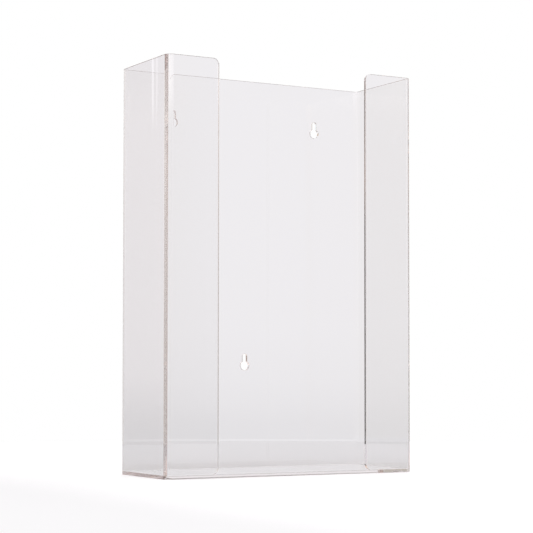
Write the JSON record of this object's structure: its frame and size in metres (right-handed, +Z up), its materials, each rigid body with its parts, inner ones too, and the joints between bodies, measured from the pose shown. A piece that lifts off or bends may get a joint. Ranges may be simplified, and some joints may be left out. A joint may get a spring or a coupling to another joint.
{
  "type": "disposable glove dispenser",
  "caption": "Clear acrylic dispenser for stacked glove boxes: one folded sheet with a tall front window between rounded lips and wall-hanging keyholes, on a cemented base plate.",
  "frame": {"origin": "middle of the footprint, on the underside of the base plate", "axes": "+Z up, towards the open top; -Y the front, with the window; +Y the back panel, towards the wall; +X the viewer's right when facing the window"},
  "size_m": [0.27, 0.1, 0.39],
  "materials": {
    "clear_sheet": "clear acrylic sheet, polished faces and edges",
    "clear_plate": "clear acrylic plate, polished faces and edges"
  },
  "bodies": {
    "root": {"folded_body": "clear_sheet", "base_plate": "clear_plate"}
  },
  "joints": []
}
